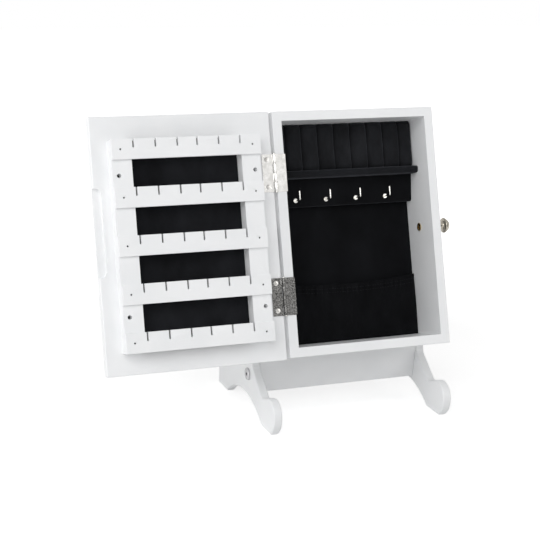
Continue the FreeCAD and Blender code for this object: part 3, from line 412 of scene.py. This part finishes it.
def pocket_surface():
    """The front sheet of the pocket as a function of u across and v up."""
    low, high = cabinet_box("pocket")
    ridges = pocket_ridges()
    back = high.y

    def point(u, v):
        x = low.x + 0.4 * MM + (high.x - low.x - 0.8 * MM) * u
        across = 2 * u - 1
        left, middle, right = MOUTH
        mouth = middle + (right - middle) * max(0.0, across) ** 2 \
            + (left - middle) * min(0.0, across) ** 2
        z = low.z + (mouth - low.z) * v
        bulge = SIDE_DEPTH + MIDDLE_DEPTH * (1 - abs(across) ** 5)
        belly = 0.62 + 0.42 * math.sin(math.pi * min(1.0, v * 0.8 + 0.1)) if v < 0.9 else 0.9
        fold = 0.0
        for centre, width, depth, drift in ridges:
            offset = (u - centre - drift * (v - 1)) / width
            strength = 0.35 + 0.65 * math.exp(-((v - 0.86) / 0.34) ** 2)
            fold += depth * strength * math.exp(-offset * offset)
        pucker = PUCKER_DEPTH * math.sin(u * 150 + 2.0 * math.sin(u * 23)) \
            * math.exp(-((v - 0.9) / 0.1) ** 2)
        crease = CREASE_DEPTH * noise.noise(Vector((u * 24, v * 7, 3.7)))
        sides = 1 - abs(across) ** 16
        y = back - BEHIND_CLOTH - bulge * belly - (fold + pucker + crease) * sides
        return Vector((x, y, z))
    return point


def pocket_piece():
    """Gathered velvet sheet, tacked along its sides and foot, with an elastic mouth."""
    point = pocket_surface()

    def build(shape):
        grid_faces(shape, grid_vertices(shape, 220, 44, point))
    piece = cabinet_mesh("pocket_gathers", build, pocket_velvet_painted_shade)
    solid = piece.modifiers.new("cloth", "SOLIDIFY")
    solid.thickness = CLOTH
    solid.offset = 0
    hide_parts("pocket")
    return piece, point


def stitches(point, count, v, name):
    """A row of short stitches along the pocket's elastic."""
    def build(shape):
        for n in range(count):
            u = (n + 0.5) / count
            start, end = point(u - 0.28 / count, v), point(u + 0.28 / count, v)
            middle = (start + end) / 2 + Vector((0, -THREAD_STAND, 0))
            length = (end - start).length
            turn = (end - start).to_track_quat("X", "Z").to_matrix().to_4x4()
            scale = Matrix.Diagonal((length / 2, THREAD_RADIUS, THREAD_RADIUS, 1))
            bmesh.ops.create_uvsphere(shape, u_segments=8, v_segments=6, radius=1,
                                      matrix=Matrix.Translation(middle) @ turn @ scale)
    piece = cabinet_mesh(name, build, thread)
    return piece


def make_pocket():
    piece, point = pocket_piece()
    rows = [stitches(point, STITCHES, v, name) for name, v in STITCH_ROWS.items()]


# ---------------------------------------------------------------- camera, light, floor

CAMERA_PLACE = Vector((-0.5025, -1.5017, 0.5662))
CAMERA_YAW = math.radians(20.415)
CAMERA_PITCH = math.radians(14.578)
CAMERA_ROLL = math.radians(1.109)
FOCAL_PIXELS = 1300
PHOTO_PIXELS = 540
SENSOR = 36.0


def make_camera():
    """Camera fitted to the photograph's edges."""
    yaw, pitch, roll = CAMERA_YAW, CAMERA_PITCH, CAMERA_ROLL
    forward = Vector((math.sin(yaw) * math.cos(pitch), math.cos(yaw) * math.cos(pitch),
                      -math.sin(pitch)))
    right = Vector((math.cos(yaw), -math.sin(yaw), 0))
    up = right.cross(forward)
    rolled_right = right * math.cos(roll) + up * math.sin(roll)
    rolled_up = up * math.cos(roll) - right * math.sin(roll)
    data = bpy.data.cameras.new("photo_camera")
    data.sensor_width = SENSOR
    data.lens = FOCAL_PIXELS / PHOTO_PIXELS * SENSOR
    data.clip_start = 0.05
    data.clip_end = 50
    camera = bpy.data.objects.new("photo_camera", data)
    bpy.context.scene.collection.objects.link(camera)
    turn = Matrix((rolled_right, rolled_up, -forward)).transposed().to_4x4()
    camera.matrix_world = Matrix.Translation(CAMERA_PLACE) @ turn
    bpy.context.scene.camera = camera


OBJECT_MIDDLE = Vector((0, -0.1, 0.2))


def area_light(name, place_at, size, power):
    """A square white lamp aimed at the object's middle."""
    data = bpy.data.lights.new(name, "AREA")
    data.shape = "RECTANGLE"
    data.size = data.size_y = size
    data.energy = power
    light = bpy.data.objects.new(name, data)
    bpy.context.scene.collection.objects.link(light)
    direction = OBJECT_MIDDLE - Vector(place_at)
    turn = direction.to_track_quat("-Z", "Y").to_matrix().to_4x4()
    light.matrix_world = Matrix.Translation(place_at) @ turn


def background_switch(tree):
    """1 for rays that should see the plain white background, 0 for light on the object."""
    path = tree.nodes.new("ShaderNodeLightPath")
    first = tree.nodes.new("ShaderNodeMath")
    first.operation = "MAXIMUM"
    second = tree.nodes.new("ShaderNodeMath")
    second.operation = "MAXIMUM"
    tree.links.new(path.outputs["Is Camera Ray"], first.inputs[0])
    tree.links.new(path.outputs["Is Transmission Ray"], first.inputs[1])
    tree.links.new(first.outputs[0], second.inputs[0])
    tree.links.new(path.outputs["Is Glossy Ray"], second.inputs[1])
    return second.outputs[0]


WORLD_LIGHT = 0.37


def make_world():
    """White for the camera and for reflections, softer on the object."""
    world = bpy.data.worlds.new("studio")
    bpy.context.scene.world = world
    world.use_nodes = True
    tree = world.node_tree
    tree.nodes.clear()
    output = tree.nodes.new("ShaderNodeOutputWorld")
    mix = tree.nodes.new("ShaderNodeMixShader")
    light = tree.nodes.new("ShaderNodeBackground")
    light.inputs["Color"].default_value = (1, 1, 1, 1)
    light.inputs["Strength"].default_value = WORLD_LIGHT
    white = tree.nodes.new("ShaderNodeBackground")
    white.inputs["Color"].default_value = (1, 1, 1, 1)
    white.inputs["Strength"].default_value = 1
    tree.links.new(background_switch(tree), mix.inputs[0])
    tree.links.new(light.outputs[0], mix.inputs[1])
    tree.links.new(white.outputs[0], mix.inputs[2])
    tree.links.new(mix.outputs[0], output.inputs["Surface"])


NEAR_GLOW = 0.55
FAR_GLOW = 1.0
GLOW_REACH = 1.1


def make_floor():
    """Pale studio floor, with contact shadows near the object and plain white further off."""
    mat = bpy.data.materials.new("pale_floor")
    mat.use_nodes = True
    tree = mat.node_tree
    tree.nodes.clear()
    output = tree.nodes.new("ShaderNodeOutputMaterial")
    diffuse = tree.nodes.new("ShaderNodeBsdfDiffuse")
    diffuse.inputs["Color"].default_value = (0.8, 0.8, 0.8, 1)
    glow = tree.nodes.new("ShaderNodeEmission")
    glow.inputs["Color"].default_value = (1, 1, 1, 1)
    nearness = add(mat, "ShaderNodeTexGradient", {"Vector": place(mat, (1 / GLOW_REACH,) * 3)},
                   gradient_type="SPHERICAL").outputs["Fac"]
    strength = add(mat, "ShaderNodeMath", {0: background_switch(tree),
                                           1: spread(mat, nearness, FAR_GLOW, NEAR_GLOW, 0.0, 0.6)},
                   operation="MULTIPLY")
    tree.links.new(strength.outputs[0], glow.inputs["Strength"])
    both = tree.nodes.new("ShaderNodeAddShader")
    tree.links.new(diffuse.outputs[0], both.inputs[0])
    tree.links.new(glow.outputs[0], both.inputs[1])
    tree.links.new(both.outputs[0], output.inputs["Surface"])
    mesh = bpy.data.meshes.new("floor")
    half = 6.0
    level = -0.0002
    mesh.from_pydata([(-half, -half, level), (half, -half, level), (half, half, level),
                      (-half, half, level)], [], [(0, 1, 2, 3)])
    mesh.materials.append(mat)
    floor = bpy.data.objects.new("floor", mesh)
    bpy.context.scene.collection.objects.link(floor)


def make_lights():
    """A broad key from above the camera's left, a weak fill from the right and a low side light."""
    area_light("key", (-1.1, -1.9, 1.5), 1.6, 24)
    area_light("fill", (1.6, -1.6, 0.9), 1.4, 9)
    area_light("side", (-2.0, -0.3, 0.7), 1.4, 15)


def painted_reflection_card(name, middle, aim, width, height):
    """A black card that only reflections see: a painted dark reflection on polished metal near it, hidden from the
    camera and casting no shadow.
    """
    mat = bpy.data.materials.new(name)
    mat.use_nodes = True
    shader = mat.node_tree.nodes["Principled BSDF"]
    shader.inputs["Base Color"].default_value = (0.01, 0.01, 0.01, 1)
    shader.inputs["Roughness"].default_value = 0.9
    mesh = bpy.data.meshes.new(name)
    x, y = width / 2, height / 2
    mesh.from_pydata([(-x, -y, 0), (x, -y, 0), (x, y, 0), (-x, y, 0)], [], [(0, 1, 2, 3)])
    mesh.materials.append(mat)
    card = bpy.data.objects.new(name, mesh)
    bpy.context.scene.collection.objects.link(card)
    direction = Vector(aim) - Vector(middle)
    turn = direction.to_track_quat("Z", "Y").to_matrix().to_4x4()
    card.matrix_world = Matrix.Translation(middle) @ turn
    card.visible_camera = False
    card.visible_diffuse = False
    card.visible_shadow = False
    card.visible_transmission = False


KNOB_CARD_PLACE = (0.405, -0.26, 0.247)
KNOB_CARD_SIZE = (0.21, 0.18)
RIGHT_KNOB_PLACE = (0.23, -0.13, 0.22)


# ---------------------------------------------------------------- build

scene = bpy.context.scene
scene.view_settings.view_transform = "Standard"
make_camera()
make_world()
make_floor()
make_lights()
painted_reflection_card("knob_painted_reflection_card", KNOB_CARD_PLACE, RIGHT_KNOB_PLACE, *KNOB_CARD_SIZE)
dress_nodes()
soften(["earring_rail_%d" % (n + 1) for n in range(5)] + ["left_stile", "right_stile"], 0.35 * MM)
soften(["ring_shelf", "hook_board"], 0.9 * MM, 3)
soften(["mirror"], 0.8 * MM)
soften(["upper_hinge_door_leaf", "upper_hinge_case_leaf", "lower_hinge_door_leaf",
        "lower_hinge_case_leaf"], 0.25 * MM)
ring_cushion()
make_pocket()
